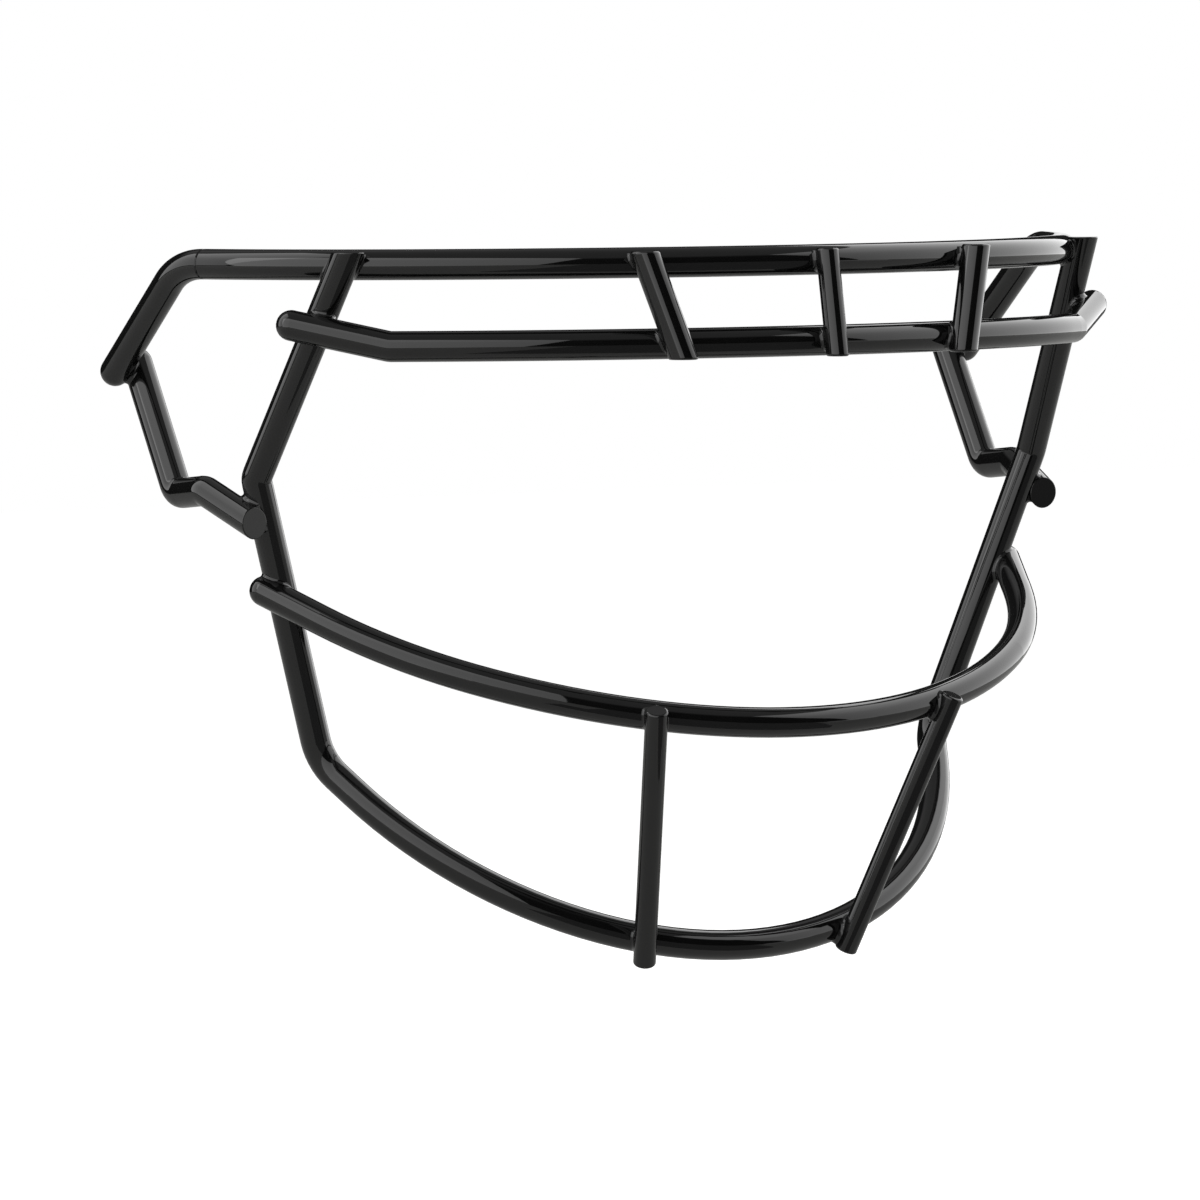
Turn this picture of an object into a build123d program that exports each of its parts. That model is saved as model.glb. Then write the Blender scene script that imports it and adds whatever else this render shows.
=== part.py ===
from build123d import *
import os
from math import asin, copysign, cos, radians, sin, tan

# Football helmet facemask: a cage of bent round wires, welded where they cross.
# X runs across the face, -Y points away from it and +Z is up. The origin is on the axis
# of the brow bar at the middle of the mask, and both sides mirror each other about X = 0.

# Wire diameters over the coating, and the room inside a tight bend
main_wire_d = 6.35
outer_strut_d = 5.95
thin_strut_d = 4.76
tight_bend_room = 0.43

# Brow bar: a level bow, then a bend into a drop that ends beside the ear
brow_front_r = 125.7
brow_front_angle = 40.0
brow_side_r = 82.0
brow_side_angle = 70.9
brow_end_run = 2.9
brow_bend_r = 15.0
drop_heading_angle = 90.1
drop_slope_angle = 40.3
drop_len = 29.2

# Visor bar: a flatter bow under the brow bar, its bent ends laid over the hoop's legs
visor_forward = 2.2
visor_below_brow = 16.6
visor_r = 135.0
visor_angle = 37.9
visor_end_run = 0.03
visor_end_lift = 4.8
visor_tail = 4.8

# Mouth bar: a sloping bow whose ends lie over the hoop's lower legs
mouth_setback = 3.5
mouth_below_brow = 95.7
mouth_slope_angle = 24.3
mouth_front_r = 102.3
mouth_front_angle = 41.2
mouth_side_r = 78.9
mouth_side_angle = 66.6
mouth_leg_len = 14.1
mouth_tail = 1.5

# Chin hoop: a sloping bow under the chin, then a lower and an upper leg up to the brow bar
chin_setback = 27.3
chin_below_brow = 143.75
chin_slope_angle = 42.35
chin_r = 79.7
chin_angle = 67.3
chin_bend_r = 9.9
chin_end_run = 0.6
lower_leg_len = 64.1
hoop_brow_angle = 49.0
hoop_top_step = 0.53

# Side loops: from the front of the hoop's lower leg back and up to the brow bar's drop
loop_below_bend = 6.8
loop_heading_angle = 79.7
loop_rise_angle = 22.4
loop_stub = 3.3
loop_reach = 13.4
loop_back_heading_angle = 89.0
loop_back_fall_angle = 5.0
loop_back_len = 10.85
loop_above_tip = 0.7
loop_tail = 1.2
loop_cut_heading_angle = 84.0
loop_cut_rise_angle = 3.0

# Struts: three join the brow bar to the visor bar, two the mouth bar to the chin hoop
outer_strut_brow_angle = 18.05
outer_strut_visor_angle = 14.8
strut_top_step = 0.7
chin_strut_mouth_angle = 20.0
chin_strut_hoop_angle = 18.0
chin_strut_top = 3.5
chin_strut_foot = 3.6

# How deep the wires of each pair are pressed into each other where they are welded
hoop_brow_sink = 2.38
hoop_visor_sink = 1.6
hoop_mouth_sink = 2.85
hoop_loop_sink = 1.6
drop_loop_sink = 0.94
outer_strut_brow_sink = 0.39
outer_strut_visor_sink = 1.07
middle_strut_brow_sink = 0.9
middle_strut_visor_sink = 0.33
chin_strut_mouth_sink = 1.39
chin_strut_hoop_sink = 0.86

# Weld fillets, whose toes start just under the coating, and the rounding of cut edges
weld_r = 0.9
weld_toe = 0.05
strut_edge_r = 0.5
saw_edge_r = 0.2

# How far wires run past a cut, and how far round a crossing a weld is shaped, in wire diameters
overrun_share = 2.0
weld_reach_share = 1.7
touch_gap = 0.001

tight_bend_r = main_wire_d / 2 + tight_bend_room
overrun = main_wire_d * overrun_share
weld_reach = main_wire_d * weld_reach_share
inward = -Axis.X.direction
outward = Axis.X.direction


# Unit direction at a heading from +X towards the helmet, tipped up by a rise
def direction(heading, rise=0):
    level = cos(radians(rise))
    return Vector(level * cos(radians(heading)), level * sin(radians(heading)), sin(radians(rise)))


# The same point on the other side of the face
def mirrored(point):
    return Vector(-point.X, point.Y, point.Z)


# The curve of a bowed bar: a front arc and a side arc that turn away from the middle
class Bow:
    def __init__(self, setback, height, slope, front_r, front_turn, side_r):
        self.place = Plane(Location((0, setback, height), (slope, 0, 0)))
        self.front_r = front_r
        self.front_turn = front_turn
        self.side_r = side_r

    def point(self, turn):
        front = radians(min(turn, self.front_turn))
        end = radians(turn)
        across = self.front_r * sin(front) + self.side_r * (sin(end) - sin(front))
        back = self.front_r * (1 - cos(front)) + self.side_r * (cos(front) - cos(end))
        return self.place.from_local_coords(Vector(across, back, 0))

    def along(self, turn):
        return self.place.from_local_coords(direction(turn)) - self.place.origin

    def away(self, turn):
        return self.along(turn).cross(self.place.z_dir)

    def middle_arc(self, turn):
        end = self.point(turn)
        return ThreePointArc(mirrored(end), self.point(0), end).edge()

    def side_arc(self, turn):
        middle = (self.front_turn + turn) / 2
        return ThreePointArc(self.point(self.front_turn), self.point(middle), self.point(turn)).edge()


# How far apart the axes of two crossing wires lie
def seat(first_d, second_d, sink):
    return (first_d + second_d) / 2 - sink


# Where a line from start passes an axis on the given side, one seat away from it
def seat_point(start, on_axis, axis, gap, side):
    square_on = on_axis - start
    square_on = square_on - axis * square_on.dot(axis)
    across = axis.cross(square_on).normalized()
    across = across * copysign(1, across.dot(side))
    lean = asin(gap / square_on.length)
    toward = square_on.normalized() * cos(lean) + across * sin(lean)
    return on_axis - square_on + toward * square_on.length * cos(lean)


# Edges of a bent run of wire through the given points
def bent_run(points, radii):
    return FilletPolyline(*points, radius=radii).edges()


# Path of a bar from end to end, from its middle arc and the edges on its right
def both_sides(middle, right):
    return Wire([middle] + right + [edge.mirror(Plane.YZ) for edge in right])


# Brow bar's path
brow = Bow(0, 0, 0, brow_front_r, brow_front_angle, brow_side_r)
brow_arc_end = brow.point(brow_side_angle)
brow_way = brow.along(brow_side_angle)
drop_way = direction(drop_heading_angle, -drop_slope_angle)
brow_bend_len = brow_bend_r * tan(radians(brow_way.get_angle(drop_way)) / 2)
brow_corner = brow_arc_end + brow_way * (brow_end_run + brow_bend_len)
drop_end = brow_corner + drop_way * (brow_bend_len + drop_len)
brow_path = both_sides(
    brow.middle_arc(brow_front_angle),
    [brow.side_arc(brow_side_angle)] + bent_run([brow_arc_end, brow_corner, drop_end], brow_bend_r),
)

# Mouth bar's path
mouth = Bow(
    mouth_setback, -mouth_below_brow, mouth_slope_angle, mouth_front_r, mouth_front_angle, mouth_side_r
)
mouth_arc_end = mouth.point(mouth_side_angle)
mouth_way = mouth.along(mouth_side_angle)
mouth_at_hoop = mouth_arc_end + mouth_way * mouth_leg_len
mouth_end = mouth_at_hoop + mouth_way * mouth_tail
mouth_path = both_sides(
    mouth.middle_arc(mouth_front_angle),
    [mouth.side_arc(mouth_side_angle), Line(mouth_arc_end, mouth_end).edge()],
)

# Chin hoop's path: inside the mouth bar's ends, then up in front of the brow bar
chin = Bow(chin_setback, -chin_below_brow, chin_slope_angle, chin_r, chin_angle, chin_r)
chin_arc_end = chin.point(chin_angle)
chin_corner = chin_arc_end + chin.along(chin_angle) * (chin_bend_r + chin_end_run)
mouth_gap = seat(main_wire_d, main_wire_d, hoop_mouth_sink)
hoop_at_mouth = seat_point(chin_corner, mouth_at_hoop, mouth_way, mouth_gap, inward)
lower_way = (hoop_at_mouth - chin_corner).normalized()
hoop_corner = chin_corner + lower_way * lower_leg_len
brow_gap = seat(main_wire_d, main_wire_d, hoop_brow_sink)
brow_side = brow.along(hoop_brow_angle)
hoop_at_brow = seat_point(
    hoop_corner, brow.point(hoop_brow_angle), brow_side, brow_gap, brow.away(hoop_brow_angle)
)
upper_way = (hoop_at_brow - hoop_corner).normalized()
hoop_path = both_sides(
    chin.middle_arc(chin_angle),
    bent_run(
        [chin_arc_end, chin_corner, hoop_corner, hoop_at_brow + upper_way * overrun],
        [chin_bend_r, tight_bend_r],
    ),
)

# Visor bar's path: its bent ends pass outside the hoop's upper legs
visor = Bow(-visor_forward, -visor_below_brow, 0, visor_r, visor_angle, visor_r)
visor_arc_end = visor.point(visor_angle)
visor_corner = visor_arc_end + visor.along(visor_angle) * (tight_bend_r + visor_end_run)
leg_rise = visor_end_lift - visor_below_brow - hoop_at_brow.Z
hoop_at_visor = hoop_at_brow + upper_way * (leg_rise / upper_way.Z)
visor_gap = seat(main_wire_d, main_wire_d, hoop_visor_sink)
visor_at_hoop = seat_point(visor_corner, hoop_at_visor, upper_way, visor_gap, outward)
visor_end = visor_at_hoop + (visor_at_hoop - visor_corner).normalized() * visor_tail
visor_path = both_sides(
    visor.middle_arc(visor_angle),
    bent_run([visor_arc_end, visor_corner, visor_end], tight_bend_r),
)

# Right side loop's path: over the hoop's lower leg, back, and up inside the brow bar's drop
hoop_at_loop = hoop_corner - lower_way * loop_below_bend
loop_way = direction(loop_heading_angle, loop_rise_angle)
loop_side = loop_way.cross(lower_way).normalized()
loop_at_hoop = hoop_at_loop + loop_side * seat(main_wire_d, main_wire_d, hoop_loop_sink)
loop_front = loop_at_hoop - loop_way * loop_stub
loop_low_corner = loop_at_hoop + loop_way * loop_reach
back_way = direction(loop_back_heading_angle, -loop_back_fall_angle)
loop_back_corner = loop_low_corner + back_way * loop_back_len
drop_at_loop = drop_end - drop_way * loop_above_tip
drop_gap = seat(main_wire_d, main_wire_d, drop_loop_sink)
loop_at_drop = seat_point(loop_back_corner, drop_at_loop, drop_way, drop_gap, inward)
loop_top = loop_at_drop + (loop_at_drop - loop_back_corner).normalized() * loop_tail
loop_path = Wire(
    bent_run(
        [loop_front - loop_way * overrun, loop_low_corner, loop_back_corner, loop_top],
        tight_bend_r,
    )
)

# Where the struts pass the bars that they join
outer_brow_gap = seat(main_wire_d, outer_strut_d, outer_strut_brow_sink)
outer_visor_gap = seat(main_wire_d, outer_strut_d, outer_strut_visor_sink)
outer_at_brow = brow.point(outer_strut_brow_angle) + brow.away(outer_strut_brow_angle) * outer_brow_gap
outer_at_visor = visor.point(outer_strut_visor_angle) + visor.away(outer_strut_visor_angle) * outer_visor_gap
middle_brow_gap = seat(main_wire_d, thin_strut_d, middle_strut_brow_sink)
middle_visor_gap = seat(main_wire_d, thin_strut_d, middle_strut_visor_sink)
middle_at_brow = brow.point(0) + brow.away(0) * middle_brow_gap
middle_at_visor = visor.point(0) + visor.away(0) * middle_visor_gap
chin_mouth_gap = seat(main_wire_d, thin_strut_d, chin_strut_mouth_sink)
chin_hoop_gap = seat(main_wire_d, thin_strut_d, chin_strut_hoop_sink)
chin_strut_way = (chin.point(chin_strut_hoop_angle) - mouth.point(chin_strut_mouth_angle)).normalized()
off_mouth = chin_strut_way.cross(mouth.along(chin_strut_mouth_angle)).normalized()
off_hoop = chin_strut_way.cross(chin.along(chin_strut_hoop_angle)).normalized()
chin_strut_at_mouth = mouth.point(chin_strut_mouth_angle) + off_mouth * chin_mouth_gap
chin_strut_at_hoop = chin.point(chin_strut_hoop_angle) + off_hoop * chin_hoop_gap

# Planes that wires are cut at, each facing the waste
hoop_cut = Plane(origin=(0, 0, main_wire_d / 2 - hoop_top_step))
strut_top_cut = Plane(origin=(0, 0, main_wire_d / 2 - strut_top_step))
strut_foot_cut = Plane(origin=(0, 0, -visor_below_brow - main_wire_d / 2), z_dir=-Axis.Z.direction)
loop_cut = Plane(origin=loop_front, z_dir=-direction(loop_cut_heading_angle, loop_cut_rise_angle))
chin_top_cut = Plane(origin=chin_strut_at_mouth - chin_strut_way * chin_strut_top, z_dir=-chin_strut_way)
chin_foot_cut = Plane(origin=chin_strut_at_hoop + chin_strut_way * chin_strut_foot, z_dir=chin_strut_way)


# Round wire along a path, with the given ends rounded over
def bent_wire(path, diameter, round_ends=()):
    bar = sweep(Plane(origin=path @ 0, z_dir=path % 0) * Circle(diameter / 2), path=path)
    for end in round_ends:
        bar += Pos(end) * Sphere(diameter / 2)
    return bar


# Straight round wire that runs past both of its seats
def straight_wire(first, second, diameter):
    way = (second - first).normalized()
    return bent_wire(Line(first - way * overrun, second + way * overrun), diameter)


# A wire as it is before cutting, and the slimmer core that its welds are shaped on
class Strand:
    def __init__(self, diameter, make):
        self.whole = make(diameter)
        self.core = make(diameter - 2 * weld_toe)


# The part of a shape behind each cutting plane
def cut_behind(shape, planes):
    for plane in planes:
        shape = split(shape, bisect_by=plane, keep=Keep.BOTTOM)
    return shape


# Whether an edge lies in a plane
def lies_in(edge, plane):
    return all(abs(plane.to_local_coords(edge @ place).Z) < touch_gap for place in (0, 0.25, 0.5))


# A wire cut at the planes, with the edges of the cuts rounded
def cut_wire(shape, planes, edge_r):
    shape = cut_behind(shape, planes)
    edges = [edge for edge in shape.edges() if any(lies_in(edge, plane) for plane in planes)]
    return fillet(edges, edge_r)


# The bead of weld round the place where two strands cross, ending under any cut
def weld(first, second, place, planes=()):
    near = Pos(place) * Sphere(weld_reach)
    first_core = first.core & near
    second_core = second.core & near
    joined = first_core + second_core
    seam = [edge for edge in joined.edges() if on_both(edge, first_core, second_core)]
    bead = fillet(seam, weld_r) - first.whole - second.whole
    return cut_behind(bead, [plane.offset(-strut_edge_r) for plane in planes])


# Whether an edge lies on two shapes
def on_both(edge, first, second):
    return all(shape.distance_to(edge @ 0.5) < touch_gap for shape in (first, second))


brow_strand = Strand(main_wire_d, lambda d: bent_wire(brow_path, d, [drop_end, mirrored(drop_end)]))
visor_strand = Strand(main_wire_d, lambda d: bent_wire(visor_path, d, [visor_end, mirrored(visor_end)]))
mouth_strand = Strand(main_wire_d, lambda d: bent_wire(mouth_path, d, [mouth_end, mirrored(mouth_end)]))
hoop_strand = Strand(main_wire_d, lambda d: bent_wire(hoop_path, d))
loop_strand = Strand(main_wire_d, lambda d: bent_wire(loop_path, d, [loop_top]))
outer_strand = Strand(outer_strut_d, lambda d: straight_wire(outer_at_brow, outer_at_visor, d))
middle_strand = Strand(thin_strut_d, lambda d: straight_wire(middle_at_brow, middle_at_visor, d))
chin_strand = Strand(thin_strut_d, lambda d: straight_wire(chin_strut_at_mouth, chin_strut_at_hoop, d))

# Wires cut to length, each notched for the wires that it is pressed into
brow_bar = brow_strand.whole
mouth_bar = mouth_strand.whole
hoop = cut_wire(hoop_strand.whole, [hoop_cut], saw_edge_r)
visor_bar = visor_strand.whole
side_loop = cut_wire(loop_strand.whole, [loop_cut], saw_edge_r)
strut_cuts = [strut_top_cut, strut_foot_cut]
outer_strut = cut_wire(outer_strand.whole, strut_cuts, strut_edge_r)
middle_strut = cut_wire(middle_strand.whole, strut_cuts, strut_edge_r)
chin_strut = cut_wire(chin_strand.whole, [chin_top_cut, chin_foot_cut], strut_edge_r)

middle_nodes = {
    "brow_bar": brow_bar,
    "visor_bar": visor_bar - hoop,
    "mouth_bar": mouth_bar - hoop,
    "chin_hoop": hoop - brow_bar,
    "brow_strut_middle": middle_strut - brow_bar - visor_bar,
    "weld_brow_strut_middle": weld(middle_strand, brow_strand, middle_at_brow, [strut_top_cut]),
    "weld_visor_strut_middle": weld(middle_strand, visor_strand, middle_at_visor, [strut_foot_cut]),
}
side_nodes = {
    "side_loop": side_loop - hoop - brow_bar,
    "brow_strut": outer_strut - brow_bar - visor_bar,
    "chin_strut": chin_strut - mouth_bar - hoop,
    "weld_brow_hoop": weld(brow_strand, hoop_strand, hoop_at_brow, [hoop_cut]),
    "weld_visor_hoop": weld(visor_strand, hoop_strand, hoop_at_visor),
    "weld_mouth_hoop": weld(mouth_strand, hoop_strand, hoop_at_mouth),
    "weld_loop_hoop": weld(loop_strand, hoop_strand, loop_at_hoop, [loop_cut]),
    "weld_loop_drop": weld(loop_strand, brow_strand, loop_at_drop),
    "weld_brow_strut": weld(outer_strand, brow_strand, outer_at_brow, [strut_top_cut]),
    "weld_visor_strut": weld(outer_strand, visor_strand, outer_at_visor, [strut_foot_cut]),
    "weld_mouth_strut": weld(chin_strand, mouth_strand, chin_strut_at_mouth, [chin_top_cut]),
    "weld_chin_strut": weld(chin_strand, hoop_strand, chin_strut_at_hoop, [chin_foot_cut]),
}

os.makedirs("parts", exist_ok=True)
for name, shape in middle_nodes.items():
    export_step(shape, f"parts/{name}.step")
for name, shape in side_nodes.items():
    export_step(shape, f"parts/{name}_right.step")
    export_step(mirror(shape, Plane.YZ), f"parts/{name}_left.step")
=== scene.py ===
import math

import bmesh
import bpy
from mathutils import Matrix, Vector


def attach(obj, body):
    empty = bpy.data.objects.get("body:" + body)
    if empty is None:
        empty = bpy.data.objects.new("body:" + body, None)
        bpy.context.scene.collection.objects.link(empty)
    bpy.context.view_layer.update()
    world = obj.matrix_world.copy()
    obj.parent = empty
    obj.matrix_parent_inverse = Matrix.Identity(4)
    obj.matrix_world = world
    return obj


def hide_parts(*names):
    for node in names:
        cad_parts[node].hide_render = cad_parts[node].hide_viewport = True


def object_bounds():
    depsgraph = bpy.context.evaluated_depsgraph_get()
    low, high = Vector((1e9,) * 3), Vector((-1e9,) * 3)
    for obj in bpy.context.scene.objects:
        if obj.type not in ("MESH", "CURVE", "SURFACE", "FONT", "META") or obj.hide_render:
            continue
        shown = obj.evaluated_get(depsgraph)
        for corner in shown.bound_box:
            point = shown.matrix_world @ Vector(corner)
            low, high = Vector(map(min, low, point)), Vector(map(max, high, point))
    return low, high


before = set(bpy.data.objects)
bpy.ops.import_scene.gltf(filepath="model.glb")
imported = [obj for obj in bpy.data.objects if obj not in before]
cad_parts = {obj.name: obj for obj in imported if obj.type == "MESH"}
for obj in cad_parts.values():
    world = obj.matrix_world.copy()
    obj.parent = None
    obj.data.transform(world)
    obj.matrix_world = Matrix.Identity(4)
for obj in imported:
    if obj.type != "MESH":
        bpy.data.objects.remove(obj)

# Football helmet facemask, photographed on white between large softboxes.
# The welded wires come from the frame; this script gives them their dipped black coat,
# lays the brow bar as one coated wire, and builds the studio round them.
# Lengths of the mask are in millimetres, those of the studio in metres, angles in degrees.

mm = 0.001
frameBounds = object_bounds()
print("frame:", len(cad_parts), "nodes")


def linearColour(hexCode):
    channels = [int(hexCode[i:i + 2], 16) / 255 for i in (1, 3, 5)]
    return [c / 12.92 if c <= 0.04045 else ((c + 0.055) / 1.055) ** 2.4 for c in channels] + [1.0]


def addNode(tree, kind, settings=None, **links):
    node = tree.nodes.new(kind)
    for name, value in (settings or {}).items():
        if isinstance(name, int) or name in node.inputs:
            node.inputs[name].default_value = value
        else:
            setattr(node, name, value)
    for name, source in links.items():
        tree.links.new(source, node.inputs[name.replace("_", " ")])
    return node


def newMaterial(name):
    material = bpy.data.materials.new(name)
    material.use_nodes = True
    material.node_tree.nodes.clear()
    return material, material.node_tree


def direction(azimuth, elevation):
    # azimuth 0 is the front of the mask, 90 its right side in the picture
    a, e = math.radians(azimuth), math.radians(elevation)
    return Vector((math.sin(a) * math.cos(e), -math.cos(a) * math.cos(e), math.sin(e)))


# Camera: the angle, place and lens that line the frame's bars up with the photograph
photoCamera = {
    "place": (-1.144412, -1.676312, 0.046688),
    "azimuth": -33.055,
    "elevation": 3.295,
    "roll": -0.428,
    "focalPixels": 9836.0,
    "imagePixels": 1200.0,
    "imageCentre": (600.5, 600.6),
    "sensorWidth": 36.0,
    "farClip": 30.0,
}


def makeCamera(s):
    turn, roll = math.radians(s["azimuth"]), math.radians(s["roll"])
    back = direction(s["azimuth"], s["elevation"])
    level = Vector((math.cos(turn), math.sin(turn), 0))
    up = back.cross(level)
    right = level * math.cos(roll) + up * math.sin(roll)
    top = up * math.cos(roll) - level * math.sin(roll)
    data = bpy.data.cameras.new("photoCamera")
    data.sensor_width = s["sensorWidth"]
    data.lens = s["focalPixels"] / s["imagePixels"] * s["sensorWidth"]
    data.shift_x = 0.5 - s["imageCentre"][0] / s["imagePixels"]
    data.shift_y = s["imageCentre"][1] / s["imagePixels"] - 0.5
    data.clip_end = s["farClip"]
    camera = bpy.data.objects.new("photoCamera", data)
    facing = Matrix((right, top, back)).transposed().to_4x4()
    camera.matrix_world = Matrix.Translation(s["place"]) @ facing
    bpy.context.collection.objects.link(camera)
    bpy.context.scene.camera = camera
    print("camera: lens", round(data.lens, 1), "mm")


# Thermoplastic dip coat: hot steel wire goes through powder that melts to a thick black skin.
# It gives the eye a deep gloss with sharp highlights that wander a little.
dipCoat = {
    "black": "#0d0d0d",
    "pooled": "#080808",
    "ior": 1.5,
    "gloss": 0.035,
    "dullSpots": 0.09,
    "flowLength": 7.0,
    "flowDetail": 1.0,
    "flowHeight": 0.007,
    "weldFlowShare": 0.8,
    "skinGrain": 0.8,
    "skinDetail": 2.0,
    "skinHeight": 0.00025,
    "dustSize": 1.6,
    "dustDetail": 4.0,
    "dustRoughness": 0.7,
    "dustStarts": 0.66,
    "dustFull": 0.78,
}


def makeCoating(name, s, flowShare=1.0):
    material, tree = newMaterial(name)
    place = addNode(tree, "ShaderNodeTexCoord").outputs["Object"]
    # slow waves where the melt ran before it set, one every few millimetres
    flow = addNode(tree, "ShaderNodeTexNoise",
                   {"Scale": 1 / (s["flowLength"] * mm * flowShare), "Detail": s["flowDetail"]},
                   Vector=place)
    # the fine grain that a cooled skin keeps
    grain = addNode(tree, "ShaderNodeTexNoise",
                    {"Scale": 1 / (s["skinGrain"] * mm), "Detail": s["skinDetail"]}, Vector=place)
    # faint dull specks of handling dust
    dust = addNode(tree, "ShaderNodeTexNoise",
                   {"Scale": 1 / (s["dustSize"] * mm), "Detail": s["dustDetail"],
                    "Roughness": s["dustRoughness"]}, Vector=place)
    specks = addNode(tree, "ShaderNodeMapRange",
                     {"From Min": s["dustStarts"], "From Max": s["dustFull"],
                      "To Min": s["gloss"], "To Max": s["dullSpots"]}, Value=dust.outputs[0])
    tone = addNode(tree, "ShaderNodeMix", {"data_type": "RGBA"}, Factor=flow.outputs[0])
    tone.inputs["A"].default_value = linearColour(s["black"])
    tone.inputs["B"].default_value = linearColour(s["pooled"])
    flowBump = addNode(tree, "ShaderNodeBump", {"Strength": 1.0, "Distance": s["flowHeight"] * mm},
                       Height=flow.outputs[0])
    skinBump = addNode(tree, "ShaderNodeBump", {"Strength": 1.0, "Distance": s["skinHeight"] * mm},
                       Height=grain.outputs[0], Normal=flowBump.outputs[0])
    shader = addNode(tree, "ShaderNodeBsdfPrincipled", {"IOR": s["ior"]},
                     Roughness=specks.outputs[0], Normal=skinBump.outputs[0])
    tree.links.new(tone.outputs["Result"], shader.inputs["Base Color"])
    addNode(tree, "ShaderNodeOutputMaterial", Surface=shader.outputs[0])
    return material


# Brow bar: one bent wire, a front arc, a tighter side arc, then a bend into a drop by the ear.
# The coat is split in a hairline seam just before each bend.
browBar = {
    "wireDiameter": 6.35,
    "frontRadius": 125.7,
    "frontTurn": 40.0,
    "sideRadius": 82.0,
    "sideTurn": 70.9,
    "endRun": 2.9,
    "bendRadius": 15.0,
    "dropHeading": 90.1,
    "dropSlope": 40.3,
    "dropLength": 29.2,
    "seamBeforeBend": 0.75,
    "seamWidth": 0.46,
    "seamDepth": 0.5,
    "seamWall": 0.03,
    "step": 0.8,
    "bendStep": 0.4,
    "tipRings": 9,
    "sides": 40,
    "coatWander": 0.006,
    "wanderLength": 9.0,
    "wanderDetail": 1.0,
    "wanderSeed": 3.0,
    "mergeDistance": 0.002,
}


def walkArc(points, way, radius, turn, axis, step):
    # adds points round an arc and gives the new direction
    count = max(2, round(radius * turn / step))
    inward = axis.cross(way)
    centre = points[-1] + inward * radius
    for i in range(1, count + 1):
        swing = Matrix.Rotation(turn * i / count, 3, axis)
        points.append(centre + swing @ (-inward * radius))
    return Matrix.Rotation(turn, 3, axis) @ way


def walkLine(points, way, length, step):
    start = points[-1]
    count = max(1, round(length / step))
    points += [start + way * (length * i / count) for i in range(1, count + 1)]


def fullWidth(points, shares):
    # the wire has its whole diameter at every point that has no share yet
    shares += [1.0] * (len(points) - len(shares))


def cutSeam(points, shares, way, s):
    # the seam's walls are steep, so it stays dark; gives the length it takes up
    fullWidth(points, shares)
    start, wall, width = points[-1], s["seamWall"], s["seamWidth"]
    deep = 1 - s["seamDepth"] / (s["wireDiameter"] / 2)
    for along, share in ((wall, 1.0), (2 * wall, deep), (2 * wall + width, deep),
                         (3 * wall + width, 1.0), (4 * wall + width, 1.0)):
        points.append(start + way * along)
        shares.append(share)
    return 4 * wall + width


def browPath(s):
    upright = Vector((0, 0, 1))
    points, shares = [Vector((0, 0, 0))], []
    frontTurn = math.radians(s["frontTurn"])
    sideTurn = math.radians(s["sideTurn"] - s["frontTurn"])
    way = walkArc(points, Vector((1, 0, 0)), s["frontRadius"], frontTurn, upright, s["step"])
    way = walkArc(points, way, s["sideRadius"], sideTurn, upright, s["step"])
    walkLine(points, way, s["endRun"] - s["seamBeforeBend"] - s["seamWidth"] / 2, s["step"])
    used = cutSeam(points, shares, way, s)
    walkLine(points, way, s["seamBeforeBend"] + s["seamWidth"] / 2 - used, s["step"])
    heading, slope = math.radians(s["dropHeading"]), math.radians(s["dropSlope"])
    drop = Vector((math.cos(heading) * math.cos(slope),
                   math.sin(heading) * math.cos(slope), -math.sin(slope)))
    bendAxis = way.cross(drop).normalized()
    walkArc(points, way, s["bendRadius"], way.angle(drop), bendAxis, s["bendStep"])
    walkLine(points, drop, s["dropLength"], s["step"])
    fullWidth(points, shares)
    # rounded tip: rings that close in over one wire radius
    radius = s["wireDiameter"] / 2
    tip = points[-1]
    for i in range(1, s["tipRings"] + 1):
        lean = math.pi / 2 * i / s["tipRings"]
        points.append(tip + drop * radius * math.sin(lean))
        shares.append(math.cos(lean))
    # the left half is the right half mirrored, from its tip back to the middle
    left = [Vector((-p.x, p.y, p.z)) for p in points[:0:-1]]
    return left + points, shares[:0:-1] + shares


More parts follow.
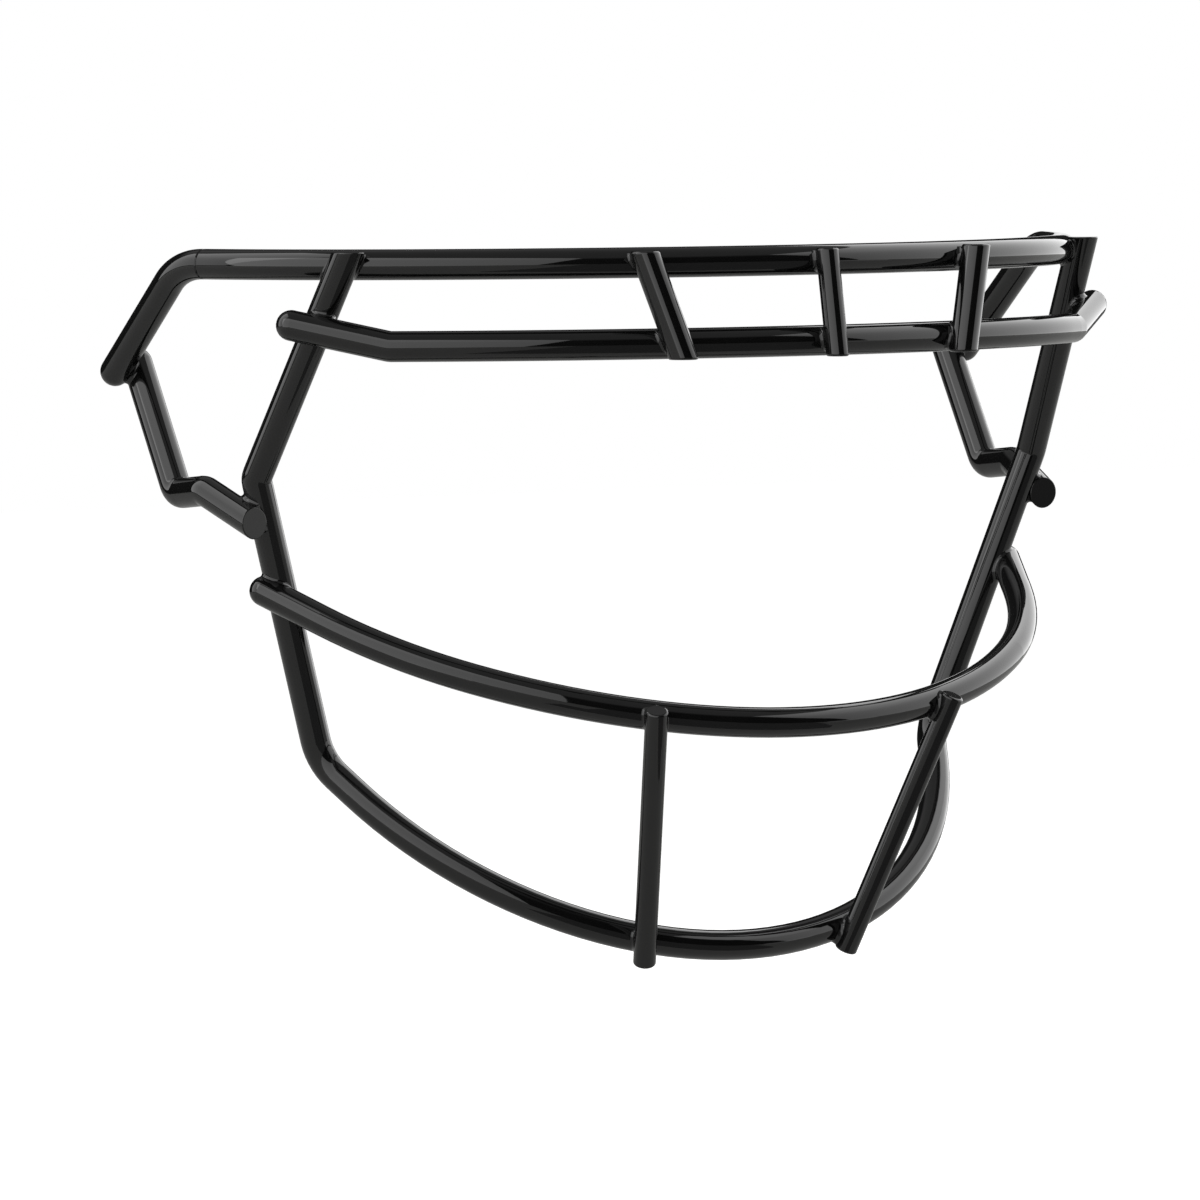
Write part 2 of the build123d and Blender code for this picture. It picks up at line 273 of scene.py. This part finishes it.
def coatedWireTree(s):
    # nodes that lay a coated wire along a curve; the curve's radius shapes its tips and seams
    tree = bpy.data.node_groups.new("coatedWire", "GeometryNodeTree")
    tree.is_modifier = True
    panel = tree.interface
    panel.new_socket("Geometry", in_out="INPUT", socket_type="NodeSocketGeometry")
    for label, kind in (("Wire Radius", "NodeSocketFloat"), ("Sides", "NodeSocketInt"),
                        ("Coat Wander", "NodeSocketFloat"), ("Wander Scale", "NodeSocketFloat"),
                        ("Seed", "NodeSocketFloat"), ("Coating", "NodeSocketMaterial")):
        panel.new_socket(label, in_out="INPUT", socket_type=kind)
    panel.new_socket("Geometry", in_out="OUTPUT", socket_type="NodeSocketGeometry")
    inputs = addNode(tree, "NodeGroupInput").outputs
    # the coat wanders a little thinner here and there, never thicker
    drift = addNode(tree, "ShaderNodeTexNoise",
                    {"noise_dimensions": "4D", "Detail": s["wanderDetail"]},
                    Scale=inputs["Wander Scale"], W=inputs["Seed"])
    thin = addNode(tree, "ShaderNodeMath", {"operation": "MULTIPLY"})
    tree.links.new(drift.outputs[0], thin.inputs[0])
    tree.links.new(inputs["Coat Wander"], thin.inputs[1])
    share = addNode(tree, "ShaderNodeMath", {"operation": "SUBTRACT", 0: 1.0})
    tree.links.new(thin.outputs[0], share.inputs[1])
    section = addNode(tree, "GeometryNodeCurvePrimitiveCircle",
                      Resolution=inputs["Sides"], Radius=inputs["Wire Radius"])
    pathShare = addNode(tree, "GeometryNodeInputRadius")
    width = addNode(tree, "ShaderNodeMath", {"operation": "MULTIPLY"})
    tree.links.new(pathShare.outputs[0], width.inputs[0])
    tree.links.new(share.outputs[0], width.inputs[1])
    wire = addNode(tree, "GeometryNodeCurveToMesh", Curve=inputs["Geometry"],
                   Profile_Curve=section.outputs[0], Scale=width.outputs[0])
    closed = addNode(tree, "GeometryNodeMergeByDistance", {"Distance": s["mergeDistance"] * mm},
                     Geometry=wire.outputs[0])
    smooth = addNode(tree, "GeometryNodeSetShadeSmooth", Geometry=closed.outputs[0])
    real = addNode(tree, "GeometryNodeRealizeInstances", Geometry=smooth.outputs[0])
    coated = addNode(tree, "GeometryNodeSetMaterial", Geometry=real.outputs[0],
                     Material=inputs["Coating"])
    addNode(tree, "NodeGroupOutput", Geometry=coated.outputs[0])
    return tree


def makeBrowBar(s, coating):
    points, shares = browPath(s)
    curve = bpy.data.curves.new("browPath", "CURVE")
    curve.dimensions = "3D"
    spline = curve.splines.new("POLY")
    spline.points.add(len(points) - 1)
    for place, point, share in zip(spline.points, points, shares):
        place.co = (*(point * mm), 1.0)
        place.radius = share
    path = bpy.data.objects.new("browPath", curve)
    bpy.context.collection.objects.link(path)
    tree = coatedWireTree(s)
    wiring = path.modifiers.new("coatedWire", "NODES")
    wiring.node_group = tree
    sockets = {item.name: item.identifier for item in tree.interface.items_tree
               if item.in_out == "INPUT"}
    wiring[sockets["Wire Radius"]] = s["wireDiameter"] / 2 * mm
    wiring[sockets["Sides"]] = s["sides"]
    wiring[sockets["Coat Wander"]] = s["coatWander"]
    wiring[sockets["Wander Scale"]] = 1 / (s["wanderLength"] * mm)
    wiring[sockets["Seed"]] = s["wanderSeed"]
    wiring[sockets["Coating"]] = coating
    finished = path.evaluated_get(bpy.context.evaluated_depsgraph_get())
    mesh = bpy.data.meshes.new_from_object(finished)
    mesh.name = "browBar"
    bpy.data.objects.remove(path)
    shape = bmesh.new()
    shape.from_mesh(mesh)
    bmesh.ops.recalc_face_normals(shape, faces=shape.faces)
    shape.to_mesh(mesh)
    shape.free()
    piece = bpy.data.objects.new("browBar", mesh)
    bpy.context.collection.objects.link(piece)
    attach(piece, "root")
    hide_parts("brow_bar")
    print("brow bar:", len(mesh.polygons), "faces")


def dressMask():
    wireCoat = makeCoating("blackThermoplasticDip", dipCoat)
    # the coat pools round a bead, so its waves are shorter there
    weldCoat = makeCoating("blackThermoplasticOverWeld", dipCoat, dipCoat["weldFlowShare"])
    for name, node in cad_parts.items():
        coat = weldCoat if name.startswith("weld_") else wireCoat
        node.data.materials.clear()
        node.data.materials.append(coat)
    print("coated", len(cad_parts), "pieces")
    makeBrowBar(browBar, wireCoat)


def stagePiece(name, mesh, material):
    mesh.materials.append(material)
    piece = bpy.data.objects.new(name, mesh)
    bpy.context.collection.objects.link(piece)
    print("stage:", name)
    return piece


def seenRays(tree, glossShare=1.0):
    # 1 for what the camera sees directly or through glass, glossShare in a reflection
    path = addNode(tree, "ShaderNodeLightPath")
    gloss = addNode(tree, "ShaderNodeMath", {"operation": "MULTIPLY", 1: glossShare})
    tree.links.new(path.outputs["Is Glossy Ray"], gloss.inputs[0])
    direct = addNode(tree, "ShaderNodeMath", {"operation": "MAXIMUM"})
    tree.links.new(path.outputs["Is Camera Ray"], direct.inputs[0])
    tree.links.new(path.outputs["Is Transmission Ray"], direct.inputs[1])
    seen = addNode(tree, "ShaderNodeMath", {"operation": "MAXIMUM"})
    tree.links.new(direct.outputs[0], seen.inputs[0])
    tree.links.new(gloss.outputs[0], seen.inputs[1])
    return seen.outputs[0]


# Floor: a wide sheet of matt pale paper below the mask, lifted to white for the camera
paperFloor = {
    "colour": "#aaaaa8",
    "drop": 0.12,
    "size": 8.0,
    "lift": 0.89,
    "glossLift": 0.1,
}
floorLevel = frameBounds[0][2] - paperFloor["drop"]
white = linearColour("#ffffff")


def makeFloor(s):
    half = s["size"] / 2
    corners = [(x * half, y * half, floorLevel) for x, y in ((-1, -1), (1, -1), (1, 1), (-1, 1))]
    mesh = bpy.data.meshes.new("paperFloor")
    mesh.from_pydata(corners, [], [(0, 1, 2, 3)])
    material, tree = newMaterial("palePaper")
    paper = addNode(tree, "ShaderNodeBsdfDiffuse", {"Color": linearColour(s["colour"])})
    lift = addNode(tree, "ShaderNodeMath", {"operation": "MULTIPLY", 1: s["lift"]})
    tree.links.new(seenRays(tree, s["glossLift"]), lift.inputs[0])
    glow = addNode(tree, "ShaderNodeEmission", {"Color": white}, Strength=lift.outputs[0])
    both = addNode(tree, "ShaderNodeAddShader")
    tree.links.new(paper.outputs[0], both.inputs[0])
    tree.links.new(glow.outputs[0], both.inputs[1])
    addNode(tree, "ShaderNodeOutputMaterial", Surface=both.outputs[0])
    stagePiece("paperFloor", mesh, material)


# Curtain: a drum of black velvet with a pale scrim for a lid, open in a slot behind the mask.
# Over the slot it starts above the backdrop's edge.
velvetCurtain = {
    "radius": 2.7,
    "turnFrom": 155.0,
    "turnTo": 499.0,
    "panels": 64,
    "top": 2.4,
    "headerHeight": 0.25,
    "lowPaintedLight": 0.02,
    "topPaintedLight": 0.3,
    "paintedLightStarts": 1.6,
}


def makeCurtain(s):
    count, sweep = s["panels"], s["turnTo"] - s["turnFrom"]
    ring = [direction(s["turnFrom"] + sweep * i / count, 0) * s["radius"] for i in range(count + 1)]
    corners = [(p.x, p.y, z) for z in (floorLevel, s["top"]) for p in ring]
    faces = [(i, i + 1, count + 2 + i, count + 1 + i) for i in range(count)]
    faces.append(tuple(range(count + 1, len(corners))))
    first = len(corners)
    header = [direction(turn, 0) * s["radius"] for turn in (s["turnTo"] - 360, s["turnFrom"])]
    corners += [(p.x, p.y, z) for p in header for z in (s["headerHeight"], s["top"])]
    faces.append((first, first + 2, first + 3, first + 1))
    mesh = bpy.data.meshes.new("blackCurtain")
    mesh.from_pydata(corners, [], faces)
    # painted light: the velvet has no shading of its own; its faint glow, brighter towards the top,
    # and the glow of the scrim lid are painted, standing in for the little light the scrim sends
    # down
    material, tree = newMaterial("blackVelvetPaintedGlow")
    place = addNode(tree, "ShaderNodeTexCoord").outputs["Object"]
    height = addNode(tree, "ShaderNodeSeparateXYZ", Vector=place).outputs["Z"]
    glow = addNode(tree, "ShaderNodeMapRange",
                   {"From Min": s["paintedLightStarts"], "From Max": s["top"], "To Min": s["lowPaintedLight"],
                    "To Max": s["topPaintedLight"]}, Value=height)
    velvet = addNode(tree, "ShaderNodeEmission", {"Color": white}, Strength=glow.outputs[0])
    addNode(tree, "ShaderNodeOutputMaterial", Surface=velvet.outputs[0])
    # the camera never sees this drum and it casts no shadow: its darkness is painted shade round
    # the mask, seen in the wires and in the light that reaches mask and floor
    curtain = stagePiece("blackCurtain", mesh, material)
    curtain.visible_camera = False
    curtain.visible_shadow = False


# Card on the floor under the gap between the softboxes, seen only in the wires: a dark sheet that
# paints shade into the floor's reflection there
gapCard = {
    "corners": ((-0.17, -0.12), (0.16, -0.12), (1.25, -1.9), (-0.62, -2.4)),
    "lift": 0.004,
    "glow": 0.18,
}


def makeGapCard(s):
    mesh = bpy.data.meshes.new("gapCard")
    mesh.from_pydata([(x, y, floorLevel + s["lift"]) for x, y in s["corners"]], [], [(3, 2, 1, 0)])
    # painted light: the card has no shading; a fixed grey glow stands in for the light that would
    # fall on a matt black card
    material, tree = newMaterial("paintedShadeCard")
    card = addNode(tree, "ShaderNodeEmission", {"Color": white, "Strength": s["glow"]})
    addNode(tree, "ShaderNodeOutputMaterial", Surface=card.outputs[0])
    piece = stagePiece("gapCard", mesh, material)
    piece.visible_camera = False
    piece.visible_diffuse = False
    piece.visible_shadow = False


# World: white where it is seen, and a low even light on the mask
whiteRoom = {
    "light": 0.35,
    "seen": 1.0,
}


def makeWorld(s):
    world = bpy.data.worlds.new("whiteRoom")
    bpy.context.scene.world = world
    world.use_nodes = True
    tree = world.node_tree
    tree.nodes.clear()
    level = addNode(tree, "ShaderNodeMapRange", {"To Min": s["light"], "To Max": s["seen"]},
                    Value=seenRays(tree))
    room = addNode(tree, "ShaderNodeBackground", {"Color": white}, Strength=level.outputs[0])
    addNode(tree, "ShaderNodeOutputWorld", Surface=room.outputs[0])
    print("world: light", s["light"])


# Softboxes: one on each side of a dark gap, one behind the left, and a low strip that lights
# the sawn end of the left loop. Fade gives the share of the brightness at the side of lower
# azimuth and at the side of higher azimuth.
softboxes = {
    "leftSoftbox": {"azimuth": -63.0, "elevation": 18.0, "distance": 1.5,
                    "width": 2.6, "height": 1.9, "brightness": 2.4, "fade": (1.0, 0.55)},
    "rightSoftbox": {"azimuth": 84.0, "elevation": 18.0, "distance": 1.5,
                     "width": 2.9, "height": 2.1, "brightness": 2.7, "fade": (0.45, 1.0)},
    "backLeftSoftbox": {"azimuth": -122.0, "elevation": 32.0, "distance": 1.6,
                        "width": 1.3, "height": 2.4, "brightness": 2.2, "fade": (1.0, 0.6)},
    "lowStrip": {"azimuth": 44.1, "elevation": -10.0, "distance": 1.263,
                 "width": 0.3, "height": 0.09, "brightness": 0.45, "fade": (1.0, 1.0)},
}


def makeSoftbox(name, s):
    lamp = bpy.data.lights.new(name, "AREA")
    lamp.shape = "RECTANGLE"
    lamp.size = s["width"]
    lamp.size_y = s["height"]
    # the power that gives a flat panel of this size the brightness asked for
    lamp.energy = s["brightness"] * math.pi * s["width"] * s["height"]
    lamp.use_nodes = True
    tree = lamp.node_tree
    across = addNode(tree, "ShaderNodeNewGeometry").outputs["Parametric"]
    along = addNode(tree, "ShaderNodeSeparateXYZ", Vector=across).outputs["X"]
    lower, higher = s["fade"]
    fade = addNode(tree, "ShaderNodeMapRange", {"To Min": lower, "To Max": higher}, Value=along)
    tree.links.new(fade.outputs[0], tree.nodes["Emission"].inputs["Strength"])
    box = bpy.data.objects.new(name, lamp)
    way = direction(s["azimuth"], s["elevation"])
    box.location = way * s["distance"]
    box.rotation_euler = way.to_track_quat("Z", "Y").to_euler()
    box.visible_camera = False
    bpy.context.collection.objects.link(box)
    print("softbox:", name)


dressMask()
makeFloor(paperFloor)
makeCurtain(velvetCurtain)
makeGapCard(gapCard)
makeWorld(whiteRoom)
for boxName, boxSettings in softboxes.items():
    makeSoftbox(boxName, boxSettings)
makeCamera(photoCamera)
bpy.context.scene.view_settings.view_transform = "Standard"
print("studio ready")
